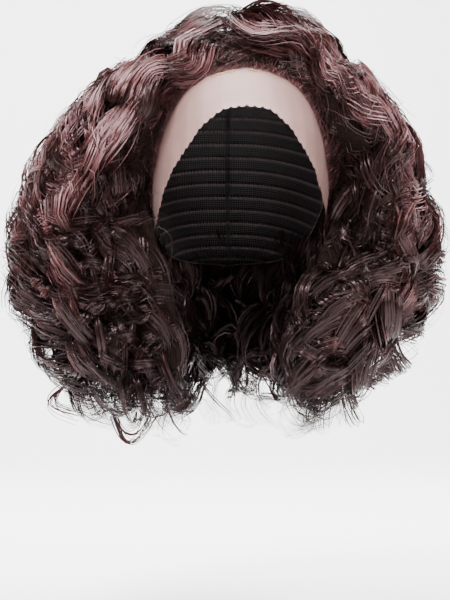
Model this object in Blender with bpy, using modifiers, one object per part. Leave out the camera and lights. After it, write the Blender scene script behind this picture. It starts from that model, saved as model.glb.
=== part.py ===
"""Shoulder-length curly lace front wig, in metres, +Z up, front towards -Y.

The origin is the inside of the crown, where the cap sits on the head. The cap is a thin dome in
two pieces: the sheer lace panel from ear to ear, with a scalloped free edge over the forehead,
and the stretch cap behind it. Four sections of curled hair lie on the cap, each an inner layer
of hair with its locks fused to it: two in front, knotted into the lace and divided where the hair
splits at the hairline, and two behind that hang from the cap's wefts.

Azimuth is measured round the crown in degrees: 0 is the forehead, +90 the wearer's left ear (+X)
and 180 the back. Station runs down the hair from 0 at the crown to 1 at the lowest tips, and
depth runs through it from 0 on the cap to 1 at the outline of the hairstyle.
"""

import math
from collections import namedtuple

import bmesh
import bpy
from mathutils import Vector

# Inside of the cap
HEAD_WIDTH = 0.146
HEAD_FRONT = 0.090
HEAD_BACK = 0.098
CROWN_HEIGHT = 0.095
NAPE_HEIGHT = 0.115
HEAD_ROUNDNESS = 2.2
CROWN_FULLNESS = 2.5

# Cap and lace
CAP_DROP = 0.170
CAP_WALL = 0.0015
LACE_WALL = 0.0010
SEAM_GAP = 0.0008
SCALLOP_PITCH = 0.0085
SCALLOP_DEPTH = 0.0022

# Outline of the hairstyle
HAIR_RISE = 0.034
HAIR_DROP = 0.303
HAIR_HALF_WIDTH = 0.170
HAIR_FRONT = 0.090
HAIR_BACK = 0.150
HAIR_ROUNDNESS = 2.3
NECK_HALF_WIDTH = 0.050
NECK_BACK = 0.066
NECK_FRONT = 0.062

# Locks
LOCK_RADIUS = 0.0165
WAVE_LENGTH = 0.080
WAVE_SWING = 0.0100
WAVE_LIFT = 0.0035
RING_STEP = 0.0205
TIP_STAGGER = 0.05
LOCK_DESCENT = 1.4
LOCK_BEDDING = 1.35
LOCK_FACE_MARGIN = 5.0
LAYER_LEAST = 0.30
LAYER_TIP_STATION = 0.93

# Gaps between the pieces
SECTION_GAP = 0.0008
HAIR_CLEARANCE = 0.0008
MERGE_DISTANCE = 0.00002
DETAIL_KEPT = 0.55

# Where the hairstyle and the cap divide
PARTING_AZIMUTH = -22.0
SECTION_AZIMUTH = 84.0
LACE_END_AZIMUTH = 75.0
CROWN_STATION = 0.006
CAP_EDGE_STATION = 0.60
CAP_EDGE_POLAR = 112.0

# Seam, hairline and free edge of the lace, as drops below the crown in shares of CAP_DROP.
LaceRow = namedtuple("LaceRow", "azimuth seam hairline edge")
LACE_ROWS = [
    LaceRow(0, 0.020, 0.140, 0.330),
    LaceRow(11, 0.023, 0.152, 0.345),
    LaceRow(22, 0.035, 0.180, 0.420),
    LaceRow(30, 0.052, 0.215, 0.510),
    LaceRow(37, 0.090, 0.275, 0.580),
    LaceRow(45, 0.150, 0.380, 0.665),
    LaceRow(55, 0.280, 0.550, 0.740),
    LaceRow(65, 0.440, 0.730, 0.795),
    LaceRow(75, 0.600, 0.800, 0.830),
]

# Lower edge of the stretch cap behind the lace: over the ear, behind it and across the nape.
CapRow = namedtuple("CapRow", "azimuth edge")
CAP_ROWS = [
    CapRow(75, 0.600),
    CapRow(84, 0.655),
    CapRow(95, 0.665),
    CapRow(108, 0.760),
    CapRow(122, 0.890),
    CapRow(142, 0.970),
    CapRow(180, 1.000),
]

# Outline of the hair by station. Level is a share of HAIR_RISE above the crown and of HAIR_DROP
# below it; side and shift are shares of the half width, front and back of the reach that way.
OutlineRow = namedtuple("OutlineRow", "station level side front back shift")
OUTLINE_ROWS = [
    OutlineRow(0.00, 1.00, 0.02, 0.03, 0.02, 0.10),
    OutlineRow(0.09, 0.85, 0.24, 0.46, 0.30, 0.10),
    OutlineRow(0.21, -0.023, 0.49, 0.90, 0.63, 0.03),
    OutlineRow(0.285, -0.102, 0.65, 1.00, 0.78, 0.00),
    OutlineRow(0.39, -0.231, 0.83, 1.00, 0.90, -0.01),
    OutlineRow(0.49, -0.356, 0.93, 0.98, 0.97, -0.04),
    OutlineRow(0.575, -0.485, 0.99, 0.96, 1.00, -0.04),
    OutlineRow(0.66, -0.614, 1.00, 0.94, 1.00, -0.05),
    OutlineRow(0.735, -0.716, 0.95, 0.92, 0.97, -0.06),
    OutlineRow(0.82, -0.818, 0.84, 0.86, 0.87, -0.07),
    OutlineRow(0.90, -0.921, 0.69, 0.76, 0.74, -0.08),
    OutlineRow(1.00, -1.000, 0.50, 0.60, 0.55, -0.06),
]

# Azimuths at which the hair on the wearer's right and left ends towards the face, by station: at
# the parting, then down the hairline, then in front of the cheek and neck.
FaceRow = namedtuple("FaceRow", "station right left")
FACE_ROWS = [
    FaceRow(0.00, -22, -23),
    FaceRow(0.10, -22, -23),
    FaceRow(0.20, -22, -23),
    FaceRow(0.24, -22, -22),
    FaceRow(0.265, -23, -12),
    FaceRow(0.285, -25, 8),
    FaceRow(0.31, -30, 25),
    FaceRow(0.35, -38, 38),
    FaceRow(0.41, -46, 46),
    FaceRow(0.48, -56, 56),
    FaceRow(0.56, -65, 63),
    FaceRow(0.64, -62, 56),
    FaceRow(0.72, -56, 46),
    FaceRow(0.82, -53, 40),
    FaceRow(1.00, -52, 40),
]

# Rows of locks, evenly spread between the two roots and the two tips, in degrees. Root and tip
# are stations, depth is where the tip lies and turn the share of a lock that sweeps sideways.
LockRow = namedtuple("LockRow", "section count root_from root_to tip_from tip_to root tip depth turn")
LOCK_ROWS = [
    LockRow("hair_front_right", 3, -26, -70, -56, -76, 0.22, 0.98, 1.00, 0.50),
    LockRow("hair_front_right", 2, -34, -66, -64, -78, 0.08, 0.90, 1.00, 0.60),
    LockRow("hair_front_right", 1, -68, -68, -54, -54, 0.50, 0.97, 0.60, 1.00),
    LockRow("hair_front_right", 1, -70, -70, -56, -56, 0.56, 0.94, 0.25, 1.00),
    LockRow("hair_front_left", 3, -14, 32, 44, 66, 0.19, 0.98, 1.00, 0.45),
    LockRow("hair_front_left", 2, 50, 72, 54, 77, 0.36, 0.93, 0.95, 0.60),
    LockRow("hair_front_left", 2, 0, 58, 62, 78, 0.08, 0.90, 1.00, 0.60),
    LockRow("hair_front_left", 1, 64, 64, 43, 43, 0.50, 0.97, 0.50, 1.00),
    LockRow("hair_front_left", 1, -18, -18, 36, 36, 0.22, 0.20, 1.15, 1.00),
    LockRow("hair_back_right", 6, -171, -93, -170, -94, 0.05, 0.98, 1.00, 1.00),
    LockRow("hair_back_left", 6, 93, 171, 94, 170, 0.05, 0.98, 1.00, 1.00),
]

# The four sections, each between two azimuths, with the end that meets the face if it has one
SectionRow = namedtuple("SectionRow", "name start end face")
SECTION_ROWS = [
    SectionRow("hair_front_right", -SECTION_AZIMUTH, PARTING_AZIMUTH, 1),
    SectionRow("hair_front_left", PARTING_AZIMUTH, SECTION_AZIMUTH, 0),
    SectionRow("hair_back_right", -180.0, -SECTION_AZIMUTH, None),
    SectionRow("hair_back_left", SECTION_AZIMUTH, 180.0, None),
]


def clear_scene():
    for obj in list(bpy.data.objects):
        bpy.data.objects.remove(obj, do_unlink=True)


def ease(share):
    share = min(max(share, 0.0), 1.0)
    return share * share * (3.0 - 2.0 * share)


def between(rows, key, value, column):
    """The column's value, on a smooth curve through the rows, where the key column has this value."""
    keys = [getattr(row, key) for row in rows]
    values = [getattr(row, column) for row in rows]
    if value <= keys[0]:
        return values[0]
    if value >= keys[-1]:
        return values[-1]
    i = max(n for n in range(len(keys) - 1) if keys[n] <= value)
    span = keys[i + 1] - keys[i]
    t = (value - keys[i]) / span

    def slope(n):
        low, high = max(n - 1, 0), min(n + 1, len(keys) - 1)
        return (values[high] - values[low]) / (keys[high] - keys[low]) * span

    a, b = values[i], values[i + 1]
    m, n = slope(i), slope(i + 1)
    return (
        (2 * t**3 - 3 * t**2 + 1) * a
        + (t**3 - 2 * t**2 + t) * m
        + (3 * t**2 - 2 * t**3) * b
        + (t**3 - t**2) * n
    )


def reach(azimuth, side, front, back, roundness):
    """Distance from the crown's axis to a rounded plan outline in this direction."""
    along = front if math.cos(math.radians(azimuth)) > 0 else back
    across = abs(math.sin(math.radians(azimuth))) / side
    ahead = abs(math.cos(math.radians(azimuth))) / along
    return (across**roundness + ahead**roundness) ** (-1.0 / roundness)


def around(azimuth, radius, level):
    angle = math.radians(azimuth)
    return Vector((radius * math.sin(angle), -radius * math.cos(angle), level))


def head_point(azimuth, polar, grow=0.0):
    """A point on the inside of the cap, or this far outside it. Polar is 0 at the crown."""
    angle = math.radians(polar)
    upper = angle < math.pi / 2
    power = 2.0 / CROWN_FULLNESS if upper else 1.0
    height = (CROWN_HEIGHT if upper else NAPE_HEIGHT) + grow
    out = math.sin(angle) ** power
    level = math.copysign(abs(math.cos(angle)) ** power, math.cos(angle)) * height
    plan = reach(
        azimuth, HEAD_WIDTH / 2 + grow, HEAD_FRONT + grow, HEAD_BACK + grow, HEAD_ROUNDNESS
    )
    return around(azimuth, plan * out, level - CROWN_HEIGHT)


def polar_at_drop(drop):
    """The polar angle at which the inside of the cap is this far below the crown."""
    if drop < CROWN_HEIGHT:
        rise = (CROWN_HEIGHT - drop) / CROWN_HEIGHT
        return math.degrees(math.acos(rise ** (CROWN_FULLNESS / 2.0)))
    return 90.0 + math.degrees(math.asin((drop - CROWN_HEIGHT) / NAPE_HEIGHT))


def lace_polar(azimuth, column):
    return polar_at_drop(CAP_DROP * between(LACE_ROWS, "azimuth", abs(azimuth), column))


def cap_edge_polar(azimuth):
    """Where the stretch cap ends: at the lace's seam in front, at its own lower edge behind."""
    if abs(azimuth) < LACE_END_AZIMUTH:
        return lace_polar(azimuth, "seam")
    return polar_at_drop(CAP_DROP * between(CAP_ROWS, "azimuth", abs(azimuth), "edge"))


def inner_point(azimuth, station, grow=0.0):
    """The hair's inner face: on the cap, and below its edge on the hollow for face and neck."""
    if station <= CAP_EDGE_STATION:
        return head_point(azimuth, CAP_EDGE_POLAR * station / CAP_EDGE_STATION, grow)
    start = head_point(azimuth, CAP_EDGE_POLAR, grow)
    plan = reach(azimuth, NECK_HALF_WIDTH, NECK_FRONT, NECK_BACK, HEAD_ROUNDNESS)
    end = around(azimuth, plan + grow, -HAIR_DROP)
    share = (station - CAP_EDGE_STATION) / (1.0 - CAP_EDGE_STATION)
    point = start.lerp(end, ease(share * 1.6))
    point.z = start.z + (end.z - start.z) * share
    return point


def outer_point(azimuth, station):
    """The outline of the hairstyle."""
    row = {
        column: between(OUTLINE_ROWS, "station", station, column)
        for column in OutlineRow._fields[1:]
    }
    radius = reach(
        azimuth,
        row["side"] * HAIR_HALF_WIDTH,
        row["front"] * HAIR_FRONT,
        row["back"] * HAIR_BACK,
        HAIR_ROUNDNESS,
    )
    level = row["level"] * (HAIR_RISE if row["level"] > 0 else HAIR_DROP)
    point = around(azimuth, radius, level)
    point.x += row["shift"] * HAIR_HALF_WIDTH
    return point


def hair_point(azimuth, station, depth, grow=0.0):
    return inner_point(azimuth, station, grow).lerp(outer_point(azimuth, station), depth)


def layer_depth(azimuth, station):
    """The depth of the inner layer, in which the locks are bedded."""
    across = outer_point(azimuth, station) - inner_point(azimuth, station, CAP_WALL)
    return max(1.0 - LOCK_BEDDING * LOCK_RADIUS / across.length, LAYER_LEAST)


def new_object(name, mesh, collection):
    obj = bpy.data.objects.new(name, mesh)
    collection.objects.link(obj)
    return obj


def loft(name, sections, collection, ladder=False):
    """A closed solid through loops of as many points, its ends flat or bridged like a ladder."""
    mesh = bpy.data.meshes.new(name)
    bm = bmesh.new()
    rings = [[bm.verts.new(point) for point in section] for section in sections]
    for low, high in zip(rings, rings[1:]):
        for i, vertex in enumerate(low):
            j = (i + 1) % len(low)
            bm.faces.new((vertex, low[j], high[j], high[i]))
    for end in (rings[0], rings[-1]):
        rungs = [(end[i], end[i + 1], end[-2 - i], end[-1 - i]) for i in range(len(end) // 2 - 1)]
        for face in rungs if ladder else [end]:
            bm.faces.new(face)
    bmesh.ops.recalc_face_normals(bm, faces=bm.faces)
    bm.to_mesh(mesh)
    bm.free()
    return new_object(name, mesh, collection)


def shell(name, rows, wall, collection, close=False):
    """An open surface through rows of points, given a wall on its outside by Solidify."""
    mesh = bpy.data.meshes.new(name)
    bm = bmesh.new()
    grid = [[bm.verts.new(point) for point in row] for row in rows]
    for low, high in zip(grid, grid[1:]):
        for i in range(len(low) - (0 if close else 1)):
            j = (i + 1) % len(low)
            bm.faces.new((low[i], high[i], high[j], low[j]))
    if close:
        crown = bm.verts.new(head_point(0, 0))
        for i in range(len(grid[0])):
            bm.faces.new((crown, grid[0][i], grid[0][(i + 1) % len(grid[0])]))
    bmesh.ops.recalc_face_normals(bm, faces=bm.faces)
    centre = Vector((0, 0, -CROWN_HEIGHT))
    inward = sum(face.normal.dot(face.calc_center_median() - centre) for face in bm.faces) < 0
    if inward:
        bmesh.ops.reverse_faces(bm, faces=bm.faces)
    bm.to_mesh(mesh)
    bm.free()
    obj = new_object(name, mesh, collection)
    solidify = obj.modifiers.new("wall", "SOLIDIFY")
    solidify.thickness = wall
    solidify.offset = 1.0
    return obj


def lace_azimuths():
    """Azimuths half a scallop apart along the free edge of the lace."""
    step = 0.5
    count = round(2 * LACE_END_AZIMUTH / step)
    trial = [-LACE_END_AZIMUTH + step * i for i in range(count + 1)]
    points = [head_point(azimuth, lace_polar(azimuth, "edge")) for azimuth in trial]
    travelled = [0.0]
    for low, high in zip(points, points[1:]):
        travelled.append(travelled[-1] + (high - low).length)
    halves = 2 * round(travelled[-1] / SCALLOP_PITCH)
    azimuths = []
    for n in range(halves + 1):
        target = travelled[-1] * n / halves
        i = min(sum(length < target for length in travelled), count)
        azimuths.append(trial[i])
    return azimuths


def build_lace(collection):
    """The sheer panel from its seam behind the hairline to its scalloped edge on the forehead."""
    rows = 5
    azimuths = lace_azimuths()
    gap = math.degrees(SEAM_GAP / HEAD_FRONT)
    notch = math.degrees(SCALLOP_DEPTH / HEAD_FRONT)
    grid = []
    for j in range(rows + 1):
        share = j / rows
        row = []
        for i, azimuth in enumerate(azimuths):
            seam = lace_polar(azimuth, "seam") + gap
            edge = lace_polar(azimuth, "edge") - (notch if i % 2 else 0.0)
            row.append(head_point(azimuth, seam + (edge - seam) * share))
        grid.append(row)
    return shell("lace_front", grid, LACE_WALL, collection)


def build_cap(collection):
    """The stretch cap over the crown and the back of the head."""
    rows = 8
    columns = 48
    azimuths = [360.0 * i / columns - 180.0 for i in range(columns)]
    grid = [
        [head_point(azimuth, cap_edge_polar(azimuth) * (j + 1) / rows) for azimuth in azimuths]
        for j in range(rows)
    ]
    return shell("cap_net", grid, CAP_WALL, collection, close=True)


def face_azimuth(section, station):
    """How far round towards the face a front section reaches at this station."""
    side = "right" if section.endswith("right") else "left"
    return between(FACE_ROWS, "station", station, side)


def build_layer(section, collection):
    """The inner layer of a section's hair, lofted from strips that run down from the crown."""
    columns = 8
    stations = [max(row.station, CROWN_STATION) for row in FACE_ROWS[:-1]] + [LAYER_TIP_STATION]
    strips = []
    for i in range(columns + 1):
        across = i / columns
        inside = []
        outside = []
        for station in stations:
            ends = section_ends(section, station)
            azimuth = ends[0] + (ends[1] - ends[0]) * across
            thin = 1.0 - 0.75 * (station / LAYER_TIP_STATION) ** 8
            if section.face is not None:
                thin *= 0.4 + 0.6 * ease(abs(across - section.face) / 0.35)
            depth = layer_depth(azimuth, station) * thin
            inside.append(hair_point(azimuth, station, 0.0, CAP_WALL))
            outside.insert(0, hair_point(azimuth, station, depth, CAP_WALL))
        strips.append(inside + outside)
    return loft(section.name, strips, collection, ladder=True)


def section_ends(section, station):
    """The two azimuths between which a section's layer runs, a little past its wedge."""
    ends = [section.start - 1.0, section.end + 1.0]
    if section.face is not None and station > 0.2:
        ends[section.face] = face_azimuth(section.name, station)
    return ends


def lock_centre(row, root_azimuth, tip_azimuth, tip, share):
    """A lock's centre line without its waves, just under the outline of the hairstyle."""
    azimuth = root_azimuth + (tip_azimuth - root_azimuth) * ease(share / row.turn)
    station = row.root + (tip - row.root) * share**LOCK_DESCENT
    if row.section == "hair_front_right":
        azimuth = min(azimuth, face_azimuth(row.section, station) - LOCK_FACE_MARGIN)
    if row.section == "hair_front_left":
        azimuth = max(azimuth, face_azimuth(row.section, station) + LOCK_FACE_MARGIN)
    inner = inner_point(azimuth, station, CAP_WALL)
    across = outer_point(azimuth, station) - inner
    lift = max(across.length - LOCK_RADIUS - WAVE_LIFT, 0.0)
    depth = 0.35 + (row.depth - 0.35) * ease(share / 0.16)
    return inner + across.normalized() * lift * depth, azimuth


def build_lock(name, row, index, collection):
    """One tapered, waved lock, as a round-bevelled curve."""
    spread = index / max(row.count - 1, 1)
    root_azimuth = row.root_from + (row.root_to - row.root_from) * spread
    tip_azimuth = row.tip_from + (row.tip_to - row.tip_from) * spread
    tip = row.tip - TIP_STAGGER * (index % 2)
    fine = 80
    trial = [lock_centre(row, root_azimuth, tip_azimuth, tip, i / fine) for i in range(fine + 1)]
    travelled = [0.0]
    for (low, _), (high, _) in zip(trial, trial[1:]):
        travelled.append(travelled[-1] + (high - low).length)
    length = travelled[-1]
    rings = max(round(length / RING_STEP), 4)
    curve = bpy.data.curves.new(name, "CURVE")
    curve.dimensions = "3D"
    curve.bevel_depth = LOCK_RADIUS
    curve.bevel_resolution = 1
    curve.use_fill_caps = True
    spline = curve.splines.new("POLY")
    spline.points.add(rings)
    for n in range(rings + 1):
        run = length * n / rings
        i = min(sum(value < run for value in travelled), fine)
        centre, azimuth = trial[i]
        turn = 2.0 * math.pi * (run / WAVE_LENGTH + 0.37 * index)
        growth = ease(run / WAVE_LENGTH)
        angle = math.radians(azimuth)
        sideways = Vector((math.cos(angle), math.sin(angle), 0.0))
        outward = Vector((math.sin(angle), -math.cos(angle), 0.0))
        point = centre + sideways * (WAVE_SWING * growth * math.sin(turn))
        point += outward * (WAVE_LIFT * growth * math.cos(turn))
        spline.points[n].co = (*point, 1.0)
        share = n / rings
        spline.points[n].radius = (0.6 + 0.4 * ease(share / 0.2)) * (1.0 - 0.7 * ease(4.0 * share - 3.0))
    return new_object(name, curve, collection)


def as_mesh(obj):
    """Turn a curve object into a mesh object of the same name, in the same collection."""
    mesh = bpy.data.meshes.new_from_object(obj)
    name = obj.name
    collection = obj.users_collection[0]
    bpy.data.objects.remove(obj, do_unlink=True)
    bm = bmesh.new()
    bm.from_mesh(mesh)
    bmesh.ops.remove_doubles(bm, verts=bm.verts, dist=1e-5)
    bmesh.ops.recalc_face_normals(bm, faces=bm.faces)
    bm.to_mesh(mesh)
    bm.free()
    return new_object(name, mesh, collection)


def build_wedge(section, collection):
    """The upright wedge that keeps a section half a gap away from its neighbours."""
    reach_out = 0.6
    half = math.radians(section.end - section.start) / 2
    middle = (section.start + section.end) / 2
    apex = around(middle, SECTION_GAP / 2 / math.sin(half), 0.0)
    corners = [apex] + [
        apex + around(middle + math.degrees(half) * side, reach_out, 0.0) for side in (-1, -0.33, 0.33, 1)
    ]
    sections = [[Vector((p.x, p.y, level)) for p in corners] for level in (-0.5, 0.2)]
    return loft(section.name + "_wedge", sections, collection)


def build_hollow(collection):
    """The space for the cap, face and neck, cut out of every section."""
    columns = 48
    rows = 24
    grow = CAP_WALL + HAIR_CLEARANCE
    levels = []
    for j in range(1, rows + 1):
        station = 1.02 * j / rows
        levels.append(
            [inner_point(360.0 * i / columns, min(station, 1.0), grow) for i in range(columns)]
        )
    for point in levels[-1]:
        point.z -= 0.03
    return loft("hollow", levels, collection)


def apply_modifiers(obj):
    evaluated = obj.evaluated_get(bpy.context.evaluated_depsgraph_get())
    mesh = bpy.data.meshes.new_from_object(evaluated)
    obj.modifiers.clear()
    obj.data = mesh


def combine(obj, other, operation):
    """Boolean the object with another or with a collection, apply it and drop what has no area."""
    boolean = obj.modifiers.new(operation.lower(), "BOOLEAN")
    boolean.solver = "EXACT"
    boolean.use_self = operation != "DIFFERENCE"
    boolean.operation = operation
    if isinstance(other, bpy.types.Collection):
        boolean.operand_type = "COLLECTION"
        boolean.collection = other
    else:
        boolean.object = other
    apply_modifiers(obj)
    bm = bmesh.new()
    bm.from_mesh(obj.data)
    bmesh.ops.remove_doubles(bm, verts=bm.verts, dist=MERGE_DISTANCE)
    bmesh.ops.dissolve_degenerate(bm, edges=bm.edges, dist=MERGE_DISTANCE)
    bmesh.ops.triangulate(bm, faces=bm.faces)
    bm.to_mesh(obj.data)
    bm.free()


def lighten(obj):
    """Merge the small faces that the union left along the locks."""
    decimate = obj.modifiers.new("fewer_faces", "DECIMATE")
    decimate.ratio = DETAIL_KEPT
    apply_modifiers(obj)


def keep_largest_body(obj):
    """Drop the loose ends that the cuts left."""
    bm = bmesh.new()
    bm.from_mesh(obj.data)
    left = set(bm.faces)
    bodies = []
    while left:
        body = {left.pop()}
        front = list(body)
        while front:
            face = front.pop()
            for edge in face.edges:
                for near in edge.link_faces if len(edge.link_faces) == 2 else ():
                    if near in left:
                        left.discard(near)
                        body.add(near)
                        front.append(near)
        bodies.append(body)
    largest = max(bodies, key=lambda body: sum(face.calc_area() for face in body))
    loose = [face for face in bm.faces if face not in largest]
    bmesh.ops.delete(bm, geom=loose, context="FACES")
    bm.to_mesh(obj.data)
    bm.free()


def material(name, colour, roughness):
    mat = bpy.data.materials.new(name)
    mat.use_nodes = True
    shader = mat.node_tree.nodes["Principled BSDF"]
    shader.inputs["Base Color"].default_value = (*colour, 1.0)
    shader.inputs["Roughness"].default_value = roughness
    shader.inputs["Metallic"].default_value = 0.0
    return mat


def hidden_collection(name):
    collection = bpy.data.collections.new(name)
    bpy.context.scene.collection.children.link(collection)
    return collection


def build_section(section, hollow, parts):
    locks = hidden_collection(section.name + "_locks")
    hair = build_layer(section, parts)
    for number, row in enumerate(LOCK_ROWS):
        if row.section != section.name:
            continue
        for index in range(row.count):
            as_mesh(build_lock(f"{section.name}_lock_{number}_{index}", row, index, locks))
    combine(hair, locks, "UNION")
    lighten(hair)
    combine(hair, build_wedge(section, cutters()), "INTERSECT")
    combine(hair, hollow, "DIFFERENCE")
    keep_largest_body(hair)
    return hair


def cutters():
    return bpy.data.collections["cutters"]


def build_wig():
    parts = bpy.data.collections.new("lace_front_wig")
    bpy.context.scene.collection.children.link(parts)
    hidden_collection("cutters")
    dark_hair = material("curled_hair", (0.045, 0.018, 0.022), 0.45)
    lace = material("sheer_lace", (0.55, 0.36, 0.34), 0.7)
    net = material("stretch_cap_net", (0.020, 0.013, 0.014), 0.85)
    build_lace(parts).data.materials.append(lace)
    build_cap(parts).data.materials.append(net)
    hollow = build_hollow(cutters())
    for section in SECTION_ROWS:
        build_section(section, hollow, parts).data.materials.append(dark_hair)
    for collection in bpy.data.collections:
        if collection is parts:
            continue
        for obj in collection.objects:
            obj.hide_render = True
            obj.display_type = "WIRE"
    for obj in parts.objects:
        for polygon in obj.data.polygons:
            polygon.use_smooth = True


clear_scene()
build_wig()
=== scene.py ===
"""The looks of the lace front wig: curled strands, sheer lace, cap, studio and camera.

Azimuth is measured round the crown in degrees: 0 is the forehead, +90 the wearer's left ear (+X)
and 180 the back. Station runs down the hair from 0 at the crown to 1 at the lowest tips, and
depth runs through it from 0 on the cap to 1 at the outline of the hairstyle.
"""

import math
from collections import namedtuple

import bpy
import numpy as np
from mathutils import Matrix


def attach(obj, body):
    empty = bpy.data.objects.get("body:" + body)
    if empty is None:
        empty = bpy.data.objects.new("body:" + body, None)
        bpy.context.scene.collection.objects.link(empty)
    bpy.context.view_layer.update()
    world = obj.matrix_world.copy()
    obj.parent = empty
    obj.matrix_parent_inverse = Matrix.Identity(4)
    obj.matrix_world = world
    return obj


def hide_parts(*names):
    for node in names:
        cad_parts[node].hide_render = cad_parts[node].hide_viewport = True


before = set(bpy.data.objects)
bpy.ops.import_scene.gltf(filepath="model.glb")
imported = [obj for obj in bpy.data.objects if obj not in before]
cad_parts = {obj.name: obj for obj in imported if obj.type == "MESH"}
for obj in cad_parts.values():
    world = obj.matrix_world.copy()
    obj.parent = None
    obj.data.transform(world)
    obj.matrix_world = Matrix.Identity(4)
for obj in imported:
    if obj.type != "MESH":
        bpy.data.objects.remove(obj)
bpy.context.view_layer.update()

# Inside of the cap, as in the model
HEAD_WIDTH = 0.146
HEAD_FRONT = 0.09
HEAD_BACK = 0.098
CROWN_HEIGHT = 0.095
NAPE_HEIGHT = 0.115
HEAD_ROUNDNESS = 2.2
CROWN_FULLNESS = 2.5
CAP_DROP = 0.17
CAP_WALL = 0.0015
LACE_WALL = 0.001
SEAM_GAP = 0.0008
SCALLOP_PITCH = 0.006
SCALLOP_DEPTH = 0.0014

# Steps of the sheets' grids
SCALLOP_STEPS = 8
LACE_STEPS = 18
CAP_STEPS = 36
CAP_STEPS_ROUND = 144

# Gold thread: where it shows, in azimuth, and how far in front of the hairline, in degrees
THREAD_STRETCHES = [(-19.0, -9.0), (-8.0, -5.5), (2.0, 11.0)]
THREAD_AHEAD = 3.6
THREAD_RADIUS = 0.00042
THREAD_STEPS = 24

# Outline of the hairstyle, as in the model
HAIR_RISE = 0.034
HAIR_DROP = 0.303
HAIR_HALF_WIDTH = 0.17
HAIR_FRONT = 0.09
HAIR_BACK = 0.15
HAIR_ROUNDNESS = 2.3
NECK_HALF_WIDTH = 0.05
NECK_BACK = 0.066
NECK_FRONT = 0.062
LACE_END_AZIMUTH = 75.0
SECTION_AZIMUTH = 84.0
PARTING_AZIMUTH = -22.0
CAP_EDGE_STATION = 0.6
CAP_EDGE_POLAR = 112.0

# Beside the forehead, between these stations, the hair starts on the hairline itself
BESIDE_FOREHEAD = (0.246, 0.41)

# Curls: each is a flat band of strands that winds round its middle line
BAND_THICKNESS = 0.004
STRAND_WIDTH = 0.001
LOOP_STRAND_HALF = 0.00042
SIDE_SWING = 0.0108
OUT_SWING = 0.0105
BAND_BOW = 0.0018
STRAND_DRIFT = 0.0013
CURLS_A_CLUMP = 2
STEPS_A_TURN = 14
PATH_STEPS = 71

# Degrees that curls keep from the face, and at most stray sideways
FACE_CLEARANCE = 4.0
LONGEST_STRAY_TURN = 7.0

# Stray strands leave the band by these lengths, to the side and in depth
STRAY_SHARE = 0.14
STRAY_SIDE = 0.006
STRAY_DEEP = 0.0035

# Tips below this height are drawn up by this share of what is below it
LOW_TIPS = -0.297
LOW_TIPS_SHARE = 0.45

# Under-layer, near black as painted shade between the curls: the lowest station and how deep its rim is
# notched, as a share of the length
UNDER_END = 0.93
UNDER_NOTCH = 0.11

# The thin sheets and the pitches of their nets
LACE_THICKNESS = 0.0005
CAP_THICKNESS = 0.0011
HEM_THICKENING = 0.0007
HEM_WIDTH = 0.0075
CAP_RADIUS = 0.085
LACE_NET_PITCH = 0.0011
CAP_NET_PITCH = 0.0016
WEFT_PITCH = 0.011
STITCH_PITCH = 0.0028
HEM_RIB_PITCH = 0.0014

# Studio backdrop: floor, wall and the radius of the bend between them
BACKDROP_FLOOR = -0.46
BACKDROP_WALL = 2.4
BACKDROP_BEND = 0.8

# Camera
CAMERA_DISTANCE = 1.5
CAMERA_AZIMUTH = -5.0
CAMERA_LEVEL = -0.199
FRAME_WIDTH = 0.353
CAMERA_SIDE = -0.0086

# The lace's seam, hairline and free edge, as shares of the cap's height from the crown down
Lace = namedtuple("Lace", "azimuth seam hairline edge")
LACE_ROWS = [
    Lace(0, .02, .14, .33),
    Lace(11, .023, .152, .345),
    Lace(22, .035, .18, .42),
    Lace(30, .052, .215, .51),
    Lace(37, .09, .275, .58),
    Lace(45, .15, .38, .665),
    Lace(55, .28, .55, .74),
    Lace(65, .44, .73, .795),
    Lace(75, .6, .8, .83),
]

# The cap's edge behind the lace, as a share of the cap's height from the crown down
Cap = namedtuple("Cap", "azimuth edge")
CAP_ROWS = [
    Cap(75, .6),
    Cap(84, .655),
    Cap(95, .665),
    Cap(108, .76),
    Cap(122, .89),
    Cap(142, .97),
    Cap(180, 1.0),
]

# Plan of the hairstyle at each station, as shares of its height, half width, front and back
Outline = namedtuple("Outline", "station level side front back shift")
OUTLINE_ROWS = [
    Outline(0, 1.0, .02, .03, .02, .1),
    Outline(.09, .85, .24, .46, .3, .1),
    Outline(.21, -.023, .49, .9, .63, .03),
    Outline(.285, -.102, .65, 1.0, .78, 0),
    Outline(.39, -.231, .83, 1.0, .9, -.01),
    Outline(.49, -.356, .93, .98, .97, -.04),
    Outline(.575, -.485, .99, .96, 1.0, -.04),
    Outline(.66, -.614, 1.0, .94, 1.0, -.05),
    Outline(.735, -.716, .95, .92, .97, -.06),
    Outline(.82, -.818, .84, .86, .87, -.07),
    Outline(.9, -.921, .69, .76, .74, -.08),
    Outline(1.0, -1.0, .5, .6, .55, -.06),
]

# The azimuths where the hair starts on both sides of the face
Face = namedtuple("Face", "station right left")
FACE_ROWS = [
    Face(0, -22, -23),
    Face(.1, -22, -23),
    Face(.2, -22, -23),
    Face(.24, -22, -22),
    Face(.265, -23, -12),
    Face(.285, -25, 8),
    Face(.31, -30, 25),
    Face(.35, -38, 38),
    Face(.41, -46, 46),
    Face(.48, -56, 64),
    Face(.56, -65, 63),
    Face(.64, -62, 64),
    Face(.72, -56, 46),
    Face(.82, -53, 40),
    Face(1.0, -52, 40),
]
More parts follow.
